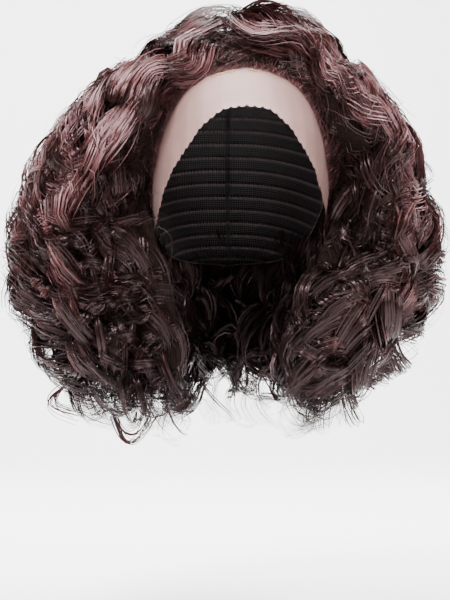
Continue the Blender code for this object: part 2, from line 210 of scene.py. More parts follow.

# Tiers of curls, spread between two roots and two tips in azimuth, and in station between root
# and root_low, and between tip_high and tip_low. Lift is the depth of the roots, deep and depth
# the range of the tips' depths, turn the share that sweeps sideways, strands those in a curl,
# tone how light they are (lower in the tiers that lie deep under the others, as painted shade),
# wave and band the length of one turn and the width of the band in millimetres, and swing how
# wide the waves are.
Tier = namedtuple(
    "Tier",
    "piece count root_from root_to tip_from tip_to root root_low tip_high tip_low"
    " lift deep depth turn strands tone wave band swing",
)
RIGHT, LEFT = "hair_front_right", "hair_front_left"
BACK_RIGHT, BACK_LEFT = "hair_back_right", "hair_back_left"
FACE_RIGHT, FACE_LEFT = "hair_face_right", "hair_face_left"
FRONT_TIERS = [
    Tier(RIGHT, 17, -16, -80, -56, -84, .27, .5, .9, .99, .1, .85, 1.0, .5, 17, .48, 62, 10, 1.0),
    Tier(RIGHT, 13, -14, -84, -58, -86, .14, .22, .76, 1.0, .5, .92, 1.0, .6, 18, .52, 64, 11, .95),
    Tier(RIGHT, 11, 0, -84, -60, -87, .005, .09, .6, .88, .7, .95, 1.0, .6, 20, .5, 70, 14, .8),
    Tier(RIGHT, 9, -22, -38, -56, -84, .07, .21, .5, .8, .7, .95, 1.0, .6, 20, .52, 68, 14, .8),
    Tier(RIGHT, 12, -36, -84, -60, -87, .2, .36, .46, .78, .6, .97, 1.01, .7, 15, .52, 60, 11, 1.0),
    Tier(RIGHT, 7, -40, -82, -60, -85, .3, .45, .8, .98, .3, .55, .8, .6, 14, .28, 56, 10, 1.0),
    Tier(RIGHT, 12, -30, -84, -64, -90, .12, .3, .5, 1.0, .8, 1.02, 1.06, .7, 7, .5, 56, 11, 1.35),
    Tier(RIGHT, 8, -50, -84, -58, -84, .4, .52, .95, .99, .3, .35, .9, .8, 17, .46, 54, 10, .95),
    Tier(LEFT, 17, -20, 70, 44, 74, .22, .42, .9, .99, .1, .85, 1.0, .4, 17, .5, 64, 10, 1.0),
    Tier(LEFT, 13, -22, 82, 50, 86, .14, .22, .76, 1.0, .5, .92, 1.0, .5, 18, .54, 66, 11, .95),
    Tier(LEFT, 11, -30, 84, 58, 87, .005, .09, .6, .88, .7, .95, 1.0, .6, 20, .6, 72, 14, .8),
    Tier(LEFT, 11, -26, 14, 44, 84, .07, .22, .5, .8, .65, .93, 1.0, .6, 20, .66, 78, 15, .75),
    Tier(LEFT, 12, 20, 84, 58, 87, .2, .36, .46, .78, .6, .97, 1.01, .7, 15, .54, 62, 11, 1.0),
    Tier(LEFT, 7, 34, 80, 52, 84, .3, .45, .8, .98, .3, .55, .8, .6, 14, .28, 56, 10, 1.0),
    Tier(LEFT, 12, 0, 84, 62, 90, .12, .3, .5, 1.0, .8, 1.02, 1.06, .7, 7, .5, 56, 11, 1.35),
    Tier(LEFT, 8, 46, 82, 46, 82, .4, .52, .95, .99, .3, .35, .9, .8, 17, .46, 54, 10, .95),
    Tier(FACE_RIGHT, 14, -32, -68, -46, -64, .26, .46, .58, .86, .1, .25, .9, .9, 15, .5, 60, 11, .8),
    Tier(FACE_RIGHT, 14, -50, -78, -54, -62, .4, .52, .86, .99, .05, .5, 1.0, .6, 16, .38, 58, 10, .9),
    Tier(FACE_RIGHT, 20, -60, -80, -53, -64, .5, .6, .84, 1.02, .04, .05, .6, .8, 13, .32, 52, 10, .85),
    Tier(FACE_LEFT, 12, 30, 66, 46, 64, .28, .46, .6, .86, .1, .25, .9, .9, 15, .4, 60, 11, .8),
    Tier(FACE_LEFT, 14, 50, 76, 41, 54, .4, .52, .86, .99, .05, .5, 1.0, .6, 16, .38, 58, 10, .9),
    Tier(FACE_LEFT, 20, 58, 80, 40, 58, .5, .6, .84, 1.02, .04, .05, .6, .8, 14, .26, 52, 10, .85),
]
# The back's right, which is mirrored for its left
BACK_TIERS = [
    Tier(BACK_RIGHT, 21, -190, -80, -179, -86, .005, .1, .82, 1.0, .7, .92, 1.0, 1.0, 18, .5, 64, 11, .95),
    Tier(BACK_RIGHT, 14, -182, -84, -178, -86, .12, .24, .62, .86, .6, .95, 1.0, 1.0, 18, .52, 62, 11, .95),
    Tier(BACK_RIGHT, 12, -180, -86, -176, -88, .2, .4, .46, .7, .6, .97, 1.01, 1.0, 15, .52, 60, 11, 1.0),
    Tier(BACK_RIGHT, 6, -176, -88, -176, -88, .3, .45, .82, .98, .3, .55, .8, 1.0, 14, .26, 56, 10, 1.0),
    Tier(BACK_RIGHT, 34, -186, -72, -184, -72, .61, .66, .88, .99, 0, -.08, .03, 1.0, 14, .34, 52, 10, .85),
    Tier(BACK_RIGHT, 8, -176, -88, -176, -88, .12, .3, .6, 1.0, .8, 1.02, 1.05, 1.0, 7, .5, 56, 11, 1.3),
]


def mirrored(tier):
    """A tier of the back's right as one of its left."""
    return tier._replace(
        piece=BACK_LEFT,
        root_from=-tier.root_to,
        root_to=-tier.root_from,
        tip_from=-tier.tip_to,
        tip_to=-tier.tip_from,
    )


TIERS = [*FRONT_TIERS, *BACK_TIERS, *(mirrored(tier) for tier in BACK_TIERS)]

# Thin loops that stand out of the hair: start, peak and end in millimetres, how far back they
# are, how many strands, and the share of the loop that the strands fill
Loop = namedtuple("Loop", "x0 z0 x1 z1 x2 z2 y strands fill")
LOOPS = [
    Loop(-92, -20, -118, -34, -118, -62, 15, 18, .6),
    Loop(-110, -46, -130, -56, -130, -80, 15, 12, .6),
    Loop(-122, -60, -150, -78, -152, -106, 15, 22, .8),
    Loop(-142, -98, -166, -112, -168, -142, 15, 22, .8),
    Loop(-152, -132, -175, -150, -172, -178, 15, 16, .6),
    Loop(-36, 12, -12, 25, 14, 15, 10, 10, .3),
    Loop(-64, -2, -44, 18, -18, 14, 10, 10, .4),
    Loop(10, 15, 30, 27, 52, 2, 10, 12, .2),
    Loop(34, -12, 52, -4, 44, 4, 0, 22, .5),
    Loop(58, -14, 66, 0, 76, -6, 0, 22, .7),
    Loop(66, -22, 82, -4, 84, -20, 0, 22, .7),
    Loop(92, -40, 100, -36, 108, -39, 0, 14, .3),
    Loop(104, -46, 146, -66, 138, -106, 10, 28, .5),
    Loop(116, -68, 150, -86, 136, -112, 10, 18, .4),
    Loop(138, -114, 166, -128, 154, -158, 10, 20, .4),
    Loop(144, -186, 165, -196, 146, -210, 10, 14, .3),
    Loop(-122, -258, -148, -278, -122, -290, 0, 16, .3),
    Loop(-96, -286, -84, -312, -66, -288, -20, 18, .4),
    Loop(54, -272, 64, -290, 80, -276, -10, 16, .4),
    Loop(84, -262, 94, -280, 104, -264, -10, 14, .4),
]

# Short hairs along a span of the hairline: how far behind it they start and how long they are,
# how far they stand out, run upwards and scatter, how wide a hair is and how light
ShortHairs = namedtuple("ShortHairs", "count span behind length rise up scatter width tone")
WHOLE = (1.0 - LACE_END_AZIMUTH, LACE_END_AZIMUTH - 1.0)
SHORT_HAIRS = [
    # The first row's dark tone is painted shade on the roots where the hair lifts off the hairline
    ShortHairs(2700, WHOLE, (0.0, .016), (.009, .017), .75, .8, .5, .0008, .27),
    ShortHairs(1700, WHOLE, (.004, .026), (.014, .026), .9, .8, .7, .0006, .46),
    ShortHairs(2100, WHOLE, (-.0045, .001), (.003, .006), .6, .8, .5, .0004, .6),
    ShortHairs(16, (-66.0, -12.0), (-.004, 0.0), (.007, .014), .2, -.5, 1.0, .0003, .55),
    ShortHairs(6, (20.0, 60.0), (-.003, 0.0), (.006, .011), .2, -.5, 1.0, .0003, .55),
]


def even_shares(steps):
    return np.linspace(0.0, 1.0, steps + 1)


def ease(share):
    share = np.clip(share, 0.0, 1.0)
    return share * share * (3.0 - 2.0 * share)


def between(rows, value, column):
    """The column on a smooth curve through the rows, at these values of their first column."""
    keys = np.array([row[0] for row in rows], float)
    values = np.array([getattr(row, column) for row in rows], float)
    value = np.clip(np.asarray(value, float), keys[0], keys[-1])
    i = np.clip(np.searchsorted(keys, value, side="right") - 1, 0, len(keys) - 2)
    low = np.maximum(np.arange(len(keys)) - 1, 0)
    high = np.minimum(np.arange(len(keys)) + 1, len(keys) - 1)
    slopes = (values[high] - values[low]) / (keys[high] - keys[low])
    span = keys[i + 1] - keys[i]
    t = (value - keys[i]) / span
    return (
        (2 * t**3 - 3 * t**2 + 1) * values[i]
        + (t**3 - 2 * t**2 + t) * slopes[i] * span
        + (3 * t**2 - 2 * t**3) * values[i + 1]
        + (t**3 - t**2) * slopes[i + 1] * span
    )


def reach(azimuth, side, front, back, roundness):
    """Distance from the crown's axis to a rounded plan outline in this direction."""
    angle = np.radians(azimuth)
    along = np.where(np.cos(angle) > 0, front, back)
    across = np.abs(np.sin(angle)) / side
    ahead = np.abs(np.cos(angle)) / along
    return (across**roundness + ahead**roundness) ** (-1.0 / roundness)


def around(azimuth, radius, level):
    angle = np.radians(azimuth)
    level = np.broadcast_to(level, np.broadcast(angle, radius).shape)
    return np.stack([radius * np.sin(angle), -radius * np.cos(angle), level], axis=-1)


def head_point(azimuth, polar, grow=0.0):
    """Points on the inside of the cap, or this far outside it. Polar is 0 at the crown."""
    azimuth, polar = np.broadcast_arrays(azimuth, polar)
    angle = np.radians(polar)
    upper = angle < math.pi / 2
    height = np.where(upper, CROWN_HEIGHT, NAPE_HEIGHT) + grow
    out = np.sin(angle) ** np.where(upper, 2.0 / CROWN_FULLNESS, 1.0)
    rise = np.abs(np.cos(angle)) ** np.where(upper, 2.0 / CROWN_FULLNESS, 1.0)
    plan = reach(
        azimuth, HEAD_WIDTH / 2 + grow, HEAD_FRONT + grow, HEAD_BACK + grow, HEAD_ROUNDNESS
    )
    return around(azimuth, plan * out, np.sign(np.cos(angle)) * rise * height - CROWN_HEIGHT)


def outwards(azimuth, polar):
    return unit(head_point(azimuth, polar, 0.01) - head_point(azimuth, polar))


def polar_at_drop(drop):
    """The polar angle at which the inside of the cap is this far below the crown."""
    rise = np.clip((CROWN_HEIGHT - drop) / CROWN_HEIGHT, 0.0, 1.0)
    fall = np.clip((drop - CROWN_HEIGHT) / NAPE_HEIGHT, 0.0, 1.0)
    above = np.degrees(np.arccos(rise ** (CROWN_FULLNESS / 2.0)))
    return np.where(drop < CROWN_HEIGHT, above, 90.0 + np.degrees(np.arcsin(fall)))


def lace_polar(azimuth, column):
    return polar_at_drop(CAP_DROP * between(LACE_ROWS, np.abs(azimuth), column))


def hairline_station(azimuth):
    return CAP_EDGE_STATION * lace_polar(azimuth, "hairline") / CAP_EDGE_POLAR


def face_limit(station, side):
    """The azimuth where the hair starts: on the hairline up top, from the table lower down."""
    limit = between(FACE_ROWS, station, side)
    trial = np.linspace(0.0, 50.0, 51)
    line = np.interp(station, hairline_station(trial), trial) + 1.0
    top, low = BESIDE_FOREHEAD
    beside = (np.asarray(station) > top) & (np.asarray(station) < low)
    if side == "left":
        return np.where(beside, np.maximum(limit, line), limit)
    return np.where(beside, np.minimum(limit, -line), limit)


def inner_point(azimuth, station, grow=0.0):
    """The hair's inner face: on the cap, and below its edge on the hollow for face and neck."""
    azimuth, station = np.broadcast_arrays(azimuth, station)
    on_cap = head_point(azimuth, CAP_EDGE_POLAR * station / CAP_EDGE_STATION, grow)
    start = head_point(azimuth, CAP_EDGE_POLAR, grow)
    plan = reach(azimuth, NECK_HALF_WIDTH, NECK_FRONT, NECK_BACK, HEAD_ROUNDNESS)
    end = around(azimuth, plan + grow, -HAIR_DROP)
    share = np.clip((station - CAP_EDGE_STATION) / (1.0 - CAP_EDGE_STATION), 0.0, None)
    below = start + (end - start) * ease(share * 1.6)[..., None]
    below[..., 2] = start[..., 2] + (end - start)[..., 2] * share
    return np.where((station <= CAP_EDGE_STATION)[..., None], on_cap, below)


def outer_point(azimuth, station):
    """The outline of the hairstyle."""
    azimuth, station = np.broadcast_arrays(azimuth, station)
    row = {name: between(OUTLINE_ROWS, station, name) for name in Outline._fields[1:]}
    radius = reach(
        azimuth,
        row["side"] * HAIR_HALF_WIDTH,
        row["front"] * HAIR_FRONT,
        row["back"] * HAIR_BACK,
        HAIR_ROUNDNESS,
    )
    level = row["level"] * np.where(row["level"] > 0, HAIR_RISE, HAIR_DROP)
    point = around(azimuth, radius, level)
    point[..., 0] += row["shift"] * HAIR_HALF_WIDTH
    return point


def unit(vectors):
    length = np.linalg.norm(vectors, axis=-1, keepdims=True)
    return vectors / np.maximum(length, 1e-9)


def travelled_along(points, axis=0):
    """How far each point is from the first one along its line."""
    steps = np.diff(points, axis=axis, prepend=np.take(points, [0], axis=axis))
    return np.linalg.norm(steps, axis=-1).cumsum(axis=axis)


def curl_path(row, root_azimuth, tip_azimuth, root, tip, depth, margin, stray_turn):
    """The middle line of a curl without its waves, with the way out of the hair at each point."""
    share = even_shares(PATH_STEPS)
    azimuth = root_azimuth + (tip_azimuth - root_azimuth) * ease(share / row.turn)
    azimuth = azimuth + stray_turn * np.sin(share * 2.0 * math.pi) * share
    station = root + (tip - root) * share**1.3
    # Past its root a curl keeps clear of the face as it is a little lower down
    lower = 0.075 if row.piece == LEFT else 0.045
    ahead = station + lower * ease(share / 0.06) * (station < 0.5)
    if row.piece in (RIGHT, FACE_RIGHT):
        azimuth = np.minimum(azimuth, face_limit(ahead, "right") - FACE_CLEARANCE)
    if row.piece in (LEFT, FACE_LEFT):
        wider = 6.0 * ease((0.42 - station) / 0.12) * ease((station - 0.2) / 0.05)
        azimuth = np.maximum(azimuth, face_limit(ahead, "left") + (FACE_CLEARANCE + wider))
    inner = inner_point(azimuth, station, CAP_WALL)
    across = outer_point(azimuth, station) - inner
    room = np.maximum(np.linalg.norm(across, axis=-1) - margin, 0.004)
    out = unit(across)
    rise = row.lift + (depth - row.lift) * ease(share / 0.12)
    if row.tip_low < 0.95:
        rise = rise - 0.35 * ease((share - 0.86) / 0.14)
    return inner + out * (room * rise)[:, None], out


def resample(points, distances, at):
    return np.stack([np.interp(at, distances, points[:, axis]) for axis in range(3)], axis=-1)


def curl_middle(path, out, size, wave, phase, hand, tilt, lean):
    """The middle of a curl's band: points, the way it faces, its growth and how far out it is.

    The curl swings in a plane tilted from the hair's surface and leans along its own line, so
    that it shows wide arcs on one side and tight turns on the other.
    """
    distances = travelled_along(path)
    length = distances[-1]
    turns = max(length / wave, 1.0)
    share = even_shares(max(int(turns * STEPS_A_TURN), 10))
    centre = resample(path, distances, length * share)
    normal = unit(resample(out, distances, length * share))
    tangent = unit(np.gradient(centre, axis=0))
    sideways = unit(np.cross(tangent, normal)) * hand
    normal = unit(np.cross(tangent, sideways) * -hand)

    growth = ease(share * turns / 0.9)[:, None]
    angle = (2.0 * math.pi * turns * (0.55 * share + 0.45 * share**2) + phase)[:, None]
    first = sideways * math.cos(tilt) + normal * math.sin(tilt)
    second = normal * math.cos(tilt) - sideways * math.sin(tilt)
    second = second * math.cos(lean) + tangent * math.sin(lean) * ease(share * 2.0)[:, None]
    swing = np.sin(angle) * SIDE_SWING * first + np.cos(angle) * OUT_SWING * second
    middle = centre + swing * growth * size * (0.72 + 0.7 * share)[:, None]
    radial = np.sin(angle) * first + np.cos(angle) * second
    facing = unit(radial * growth * 0.8 + 0.7 * normal)
    front = 0.5 + 0.5 * np.sum(radial * normal, axis=-1)
    return share, middle, facing, growth[:, 0], front


def curl_strands(rng, middle_line, strands, band, tone):
    """A curl's strands: their points, the half widths across them and their tones."""
    share, middle, facing, growth, front = middle_line
    heading = unit(np.gradient(middle, axis=0))
    sideways = unit(np.cross(heading, facing))
    facing = np.cross(sideways, heading)

    def scatter(amount):
        return rng.normal(0.0, amount, (strands, 1))

    # Place of each strand across and through the band; a few strays leave it
    stray = (rng.uniform(0.0, 1.0, strands) < STRAY_SHARE)[:, None]
    across = np.linspace(-1.0, 1.0, strands)[:, None] + scatter(0.1)
    through = rng.uniform(-1.0, 1.0, (strands, 1))
    spread = 1.0 + 0.7 * (1.0 - growth) - 0.3 * ease(share * 2.0 - 1.0)
    spread = spread * (1.0 + (0.65 * front - 0.35) * growth)
    drift = scatter(1.0) * np.sin(rng.uniform(4.0, 9.0) * share + through * 3.0)
    side = across * spread * 0.5 * band + STRAND_DRIFT * drift
    side = side + stray * scatter(STRAY_SIDE) * np.sin(share * 11.0 + through * 6.0)
    deep = through * 0.5 * BAND_THICKNESS - BAND_BOW * across**2
    deep = deep + stray * scatter(STRAY_DEEP) * np.cos(share * 9.0 + across * 6.0)
    points = middle[None] + sideways[None] * side[..., None] + facing[None] * deep[..., None]
    points[..., 2] -= LOW_TIPS_SHARE * np.minimum(points[..., 2] - LOW_TIPS, 0.0)

    roll = scatter(0.25)[..., None] + 0.45 * across[..., None]
    width = sideways[None] * np.cos(roll) + facing[None] * np.sin(roll)
    end = rng.uniform(0.8, 1.0, (strands, 1)) ** 0.7
    taper = 1.0 - 0.92 * ease((share[None, :] - end + 0.07) / 0.07)
    fine = np.where(stray, 0.45, 1.0) * (0.6 if strands < 8 else 1.0)
    half = 0.5 * STRAND_WIDTH * rng.uniform(0.7, 1.25, (strands, 1)) * fine * taper

    # Painted light and shade in the tones: lighter on top and darker low down as if lit from above,
    # darker at the roots where the hair lifts off and towards the tips, a painted highlight where the
    # curl bends outwards and painted shade inside its turns
    tones = tone + scatter(0.05) + stray * 0.05
    # Painted light from above: lighter high up, darker low down
    down = 0.42 + 0.72 * ease(middle[:, 2] / 0.26 + 1.1)
    tones = tones * (0.35 + 0.65 * ease(share / 0.1)) * down
    tones = tones * (1.0 - 0.35 * ease((share - 0.8) / 0.2))
    # Painted highlight on the crest of each outward bend, painted shade inside the turns
    painted_crest_light = 0.24 + 0.22 * front + 2.0 * front**5
    tones = np.clip(tones * (1.0 + (painted_crest_light - 1.0) * growth), 0.0, 1.1)
    return points, width * half[..., None], tones


def ribbon_mesh(name, batches):
    """One mesh of flat strands: each is a strip of quads with its tone kept at every corner."""
    vertices, faces, tones, lies, acrosses = [], [], [], [], []
    start = 0
    for points, half, tone in batches:
        strands, samples = points.shape[:2]
        pair = np.stack([points - half, points + half], axis=2)
        vertices.append(pair.reshape(-1, 3))
        tones.append(np.repeat(tone.reshape(-1), 2))
        run = travelled_along(points, axis=1)
        wide = 2.0 * np.linalg.norm(half, axis=-1)
        number = np.broadcast_to((start + np.arange(strands))[:, None] * 0.0137, run.shape)
        lie = np.stack([np.zeros_like(run), run, number, wide, run, number], axis=-1)
        lies.append(lie.reshape(-1, 3))
        acrosses.append(np.repeat(unit(half).reshape(-1, 3), 2, axis=0))
        base = start + 2 * (np.arange(strands)[:, None] * samples + np.arange(samples - 1)[None, :])
        quads = np.stack([base, base + 1, base + 3, base + 2], axis=-1)
        faces.append(quads.reshape(-1, 4))
        start += strands * samples * 2
    vertices = np.concatenate(vertices)
    faces = np.concatenate(faces)
    mesh = bpy.data.meshes.new(name)
    mesh.vertices.add(len(vertices))
    mesh.vertices.foreach_set("co", vertices.astype(np.float32).ravel())
    mesh.loops.add(faces.size)
    mesh.loops.foreach_set("vertex_index", faces.astype(np.int32).ravel())
    mesh.polygons.add(len(faces))
    mesh.polygons.foreach_set("loop_start", np.arange(0, faces.size, 4, dtype=np.int32))
    mesh.polygons.foreach_set("use_smooth", np.ones(len(faces), dtype=bool))
    mesh.update(calc_edges=True)
    keep_values(mesh, "tone", tones)
    keep_values(mesh, "lie", lies)
    keep_values(mesh, "across", acrosses)
    return mesh


def keep_values(mesh, name, parts):
    """Keep values at the mesh's points, part after part: one number each, or three."""
    values = np.concatenate(parts).astype(np.float32)
    kind = "FLOAT" if values.ndim == 1 else "FLOAT_VECTOR"
    kept = mesh.attributes.new(name, kind, "POINT")
    kept.data.foreach_set("value" if kind == "FLOAT" else "vector", values.ravel())


def smooth_mesh(name, points, faces):
    mesh = bpy.data.meshes.new(name)
    mesh.from_pydata(np.asarray(points).tolist(), [], np.asarray(faces).tolist())
    mesh.polygons.foreach_set("use_smooth", np.ones(len(mesh.polygons), dtype=bool))
    return mesh


def new_object(name, data):
    """An object of this mesh, lamp or camera, in the scene."""
    obj = bpy.data.objects.new(name, data)
    bpy.context.scene.collection.objects.link(obj)
    return obj


def build_piece(name, mesh, material, slot, *nodes):
    obj = new_object(name, mesh)
    mesh.materials.append(material)
    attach(obj, "root")
    if nodes:
        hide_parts(*nodes)
    return obj


Clump = namedtuple("Clump", "root tip phase tilt lean hand wave size tone")


def new_clump(rng, row):
    """What the curls of a clump share, so that they lie in each other's waves."""
    return Clump(
        root=rng.uniform(row.root, row.root_low),
        tip=rng.uniform(row.tip_high, row.tip_low),
        phase=rng.uniform(0.0, 2.0 * math.pi),
        tilt=rng.uniform(-0.9, 0.9),
        lean=rng.choice([-1.0, 1.0]) * rng.uniform(0.5, 1.2),
        hand=-1.0 if rng.uniform() < 0.2 else 1.0,
        wave=row.wave * 0.001 * rng.uniform(0.8, 1.22),
        size=rng.uniform(0.75, 1.2) * row.swing,
        tone=row.tone + rng.normal(0.0, 0.1),
    )


def section_strands(piece, seed):
    """All strands of one section, tier by tier."""
    rng = np.random.default_rng(seed)
    batches = []
    for row in TIERS:
        if row.piece != piece:
            continue
        for index in range(row.count):
            if index % CURLS_A_CLUMP == 0:
                clump = new_clump(rng, row)
            across = (index + 0.5 + rng.uniform(-0.35, 0.35)) / row.count
            root_azimuth = row.root_from + (row.root_to - row.root_from) * across
            tip_azimuth = row.tip_from + (row.tip_to - row.tip_from) * across
            root = np.clip(clump.root + rng.normal(0.0, 0.012), row.root, row.root_low)
            if abs(root_azimuth) < LACE_END_AZIMUTH:
                root = min(root, hairline_station(root_azimuth) - 0.04)
            tip = np.clip(clump.tip + rng.normal(0.0, 0.015), row.tip_high, row.tip_low)
            depth = rng.uniform(row.deep, row.depth)
            size = clump.size * rng.uniform(0.9, 1.1)
            tilt = clump.tilt + rng.normal(0.0, 0.2)
            swing = abs(math.sin(tilt)) * SIDE_SWING
            swing += math.cos(tilt) * OUT_SWING * math.cos(clump.lean)
            margin = 0.9 * swing * size
            stray_turn = LONGEST_STRAY_TURN * math.sin(clump.phase) * rng.uniform(0.5, 1.0)
            path, out = curl_path(
                row, root_azimuth, tip_azimuth, root, tip, depth, margin, stray_turn
            )
            wave = clump.wave * rng.uniform(0.96, 1.04)
            phase = clump.phase + rng.normal(0.0, 0.3)
            hand = math.copysign(1.0, tip_azimuth) * clump.hand
            middle_line = curl_middle(path, out, size, wave, phase, hand, tilt, clump.lean)
            wide = rng.uniform(0.4, 1.5)
            strands = max(round(row.strands * wide), 4)
            tone = clump.tone + rng.normal(0.0, 0.06)
            batches.append(curl_strands(rng, middle_line, strands, 0.001 * row.band * wide, tone))
    return batches


def loose_loops():
    """The few thin loops, curtains and flicks that stand out of the hair in the photo."""
    rng = np.random.default_rng(99)
    batches = []
    share = even_shares(12)
    for row in LOOPS:
        start = np.array([row.x0, row.y, row.z0]) * 0.001
        peak = np.array([row.x1, row.y, row.z1]) * 0.001
        end = np.array([row.x2, row.y, row.z2]) * 0.001
        count = row.strands
        within = rng.uniform(0.0, 1.0, (count, 1, 1)) ** 0.8
        middle = 0.5 * (start + end)
        bend = 2.0 * peak - middle
        bend = bend + (middle - bend) * row.fill * within
        shift = rng.normal(0.0, 0.0012, (count, 1, 3))
        shift = shift + np.array([0.0, 0.004, 0.0]) * (within - 0.5)
        from_place = start + rng.normal(0.0, 0.0018, (count, 1, 3))
        to_place = end + rng.normal(0.0, 0.0024, (count, 1, 3))
        to_place = to_place + (start - end) * 0.3 * within * row.fill
        t = share[None, :, None]
        points = from_place * (1 - t) ** 2 + 2 * bend * t * (1 - t) + to_place * t**2 + shift * t
        heading = unit(np.gradient(points, axis=1))
        facing = unit(np.array([0.0, -1.0, 0.2]) + rng.normal(0.0, 0.3, (count, 1, 3)))
        thick = LOOP_STRAND_HALF * rng.uniform(0.6, 1.3, (count, 1, 1)) * (1.0 - 0.5 * t)
        tones = np.broadcast_to(rng.normal(0.46, 0.1, (count, 1)), points.shape[:2])
        batches.append((points, unit(np.cross(heading, facing)) * thick, tones))
    return batches


def hairline_azimuths(rng, count, low, high):
    """Azimuths spread evenly along the length of the hairline."""
    trial = np.linspace(low, high, 200)
    travelled = travelled_along(head_point(trial, lace_polar(trial, "hairline")))
    return np.interp(rng.uniform(0.0, travelled[-1], count), travelled, trial)


def short_hairs(rng, row):
    """Short hairs along the hairline, as one batch of curved strips."""
    count = row.count
    azimuth = hairline_azimuths(rng, count, *row.span)
    behind = rng.uniform(*row.behind, count)
    polar = lace_polar(azimuth, "hairline") - np.degrees(behind / HEAD_FRONT)
    root = head_point(azimuth, polar, LACE_WALL)
    normal = unit(head_point(azimuth, polar, 0.01) - root)
    upwards = unit(head_point(azimuth, polar - 1.0, LACE_WALL) - root)
    across = np.cross(normal, upwards)
    sweep = row.scatter * np.clip(rng.normal(0.0, 1.0, (count, 1)), -1.6, 1.6)
    sweep = sweep - 0.9 * row.scatter * np.sign(azimuth - PARTING_AZIMUTH)[:, None]
    start = unit(normal * row.rise + upwards * row.up * 0.4 + across * sweep)
    curl = row.scatter * np.clip(rng.normal(0.0, 1.0, (count, 1)), -1.6, 1.6)
    bend = upwards * row.up * 0.7 + across * (sweep * 0.8 + curl)
    bend = bend - normal * 0.5 * row.rise
    share = even_shares(5)[None, :, None]
    length = rng.uniform(*row.length, (count, 1))[:, :, None]
    points = root[:, None] + length * (start[:, None] * share + bend[:, None] * share**2 * 0.8)
    heading = unit(np.gradient(points, axis=1))
    facing = unit(normal + rng.normal(0.0, 0.4, (count, 3)))[:, None]
    half = unit(np.cross(heading, facing)) * 0.5 * row.width * (1.0 - 0.75 * share)
    tones = np.clip(row.tone + rng.normal(0.0, 0.15, (count, 1)), 0.0, 1.0)
    return points, half, np.broadcast_to(tones, points.shape[:2])


def hairline_batches():
    """The band of roots, dark as painted shade where the hair lifts off, the fine baby hairs before it and
    the strays on the lace.
    """
    rng = np.random.default_rng(77)
    return [short_hairs(rng, row) for row in SHORT_HAIRS]


def closed_sheet(name, inner, outer, wraps):
    """A thin sheet from two grids of points, closed at its rims, or round a crown if it wraps."""
    rows, columns = inner.shape[:2]
    index = np.arange(rows * columns).reshape(rows, columns)
    ahead = np.roll(index, -1, axis=1)
    if not wraps:
        index, ahead = index[:, :-1], ahead[:, :-1]
    top = np.stack([index[:-1], index[1:], ahead[1:], ahead[:-1]], axis=-1).reshape(-1, 4)
    count = rows * columns

    def rim(start, end):
        return np.stack([start, start + count, end + count, end], axis=-1)

    rims = [rim(index[-1], ahead[-1]), rim(ahead[0], index[0])]
    if not wraps:
        side = np.arange(count).reshape(rows, columns)
        rims.append(rim(side[:-1, 0], side[1:, 0]))
        rims.append(rim(side[:-1, -1], side[1:, -1])[:, ::-1])
    quads = np.concatenate([top[:, ::-1], top + count, *rims])
    points = np.concatenate([inner.reshape(-1, 3), outer.reshape(-1, 3)])
    return smooth_mesh(name, points, quads)


def build_lace():
    """The sheer panel: pinked at its free edge, lifting and curling a little at its two ends."""
    trial = np.linspace(-LACE_END_AZIMUTH, LACE_END_AZIMUTH, 601)
    travelled = travelled_along(head_point(trial, lace_polar(trial, "edge")))
    scallops = round(travelled[-1] / SCALLOP_PITCH)
    count = np.linspace(0.0, scallops, scallops * SCALLOP_STEPS + 1)
    along = count / scallops * travelled[-1]
    azimuth = np.interp(along, travelled, trial)[None, :]
    share = even_shares(LACE_STEPS)[:, None]
    seam = lace_polar(azimuth, "seam") + math.degrees(SEAM_GAP / HEAD_FRONT)
    edge = lace_polar(azimuth, "edge") + 3.2 * ease((-azimuth - 40.0) / 25.0)
    notch = (1.0 - np.abs(np.sin(math.pi * count)) ** 0.7)[None, :]
    notch = notch * math.degrees(SCALLOP_DEPTH / HEAD_FRONT)
    polar = seam + (edge - seam) * share - notch * ease((share - 0.85) / 0.15)
    azimuth = np.broadcast_to(azimuth, polar.shape)

    # How far the free edge lifts off the head: a ripple, and more at the two ends
    free = ease((share - 0.45) / 0.55)
    ripple = 0.00035 * np.sin(count * 1.9)[None, :] + 0.0003 * np.sin(count * 0.73 + 1.0)[None, :]
    left_end = np.clip((azimuth - 56.0) / 19.0, 0.0, 1.0)
    right_end = np.clip((-azimuth - 64.0) / 11.0, 0.0, 1.0)
    lifted = free * (0.0004 + ripple + 0.0052 * left_end**1.5 + 0.0018 * right_end**2)
    direction = outwards(azimuth, polar)
    inner = head_point(azimuth, polar) + direction * (0.0001 + lifted)[..., None]
    outer = inner + direction * LACE_THICKNESS

    mesh = closed_sheet("lace_panel", inner, outer, wraps=False)
    keep_net(mesh, np.broadcast_to(along[None, :], polar.shape), travelled_along(inner))
    past = np.radians(polar - lace_polar(azimuth, "hairline")) * HEAD_FRONT
    keep_values(mesh, "past_hairline", [past.ravel()] * 2)
    keep_values(mesh, "to_side", [(np.abs(azimuth + 3.0) / LACE_END_AZIMUTH).ravel()] * 2)
    lace = build_piece("lace_panel", mesh, lace_material(), "sheer_lace", "lace_front")
    thread = build_thread()


def keep_net(mesh, along, down):
    """Keep at both faces of a sheet how far along and down its net each point is."""
    net = np.stack([along, down, np.zeros_like(down)], axis=-1).reshape(-1, 3)
    keep_values(mesh, "net", [net, net])


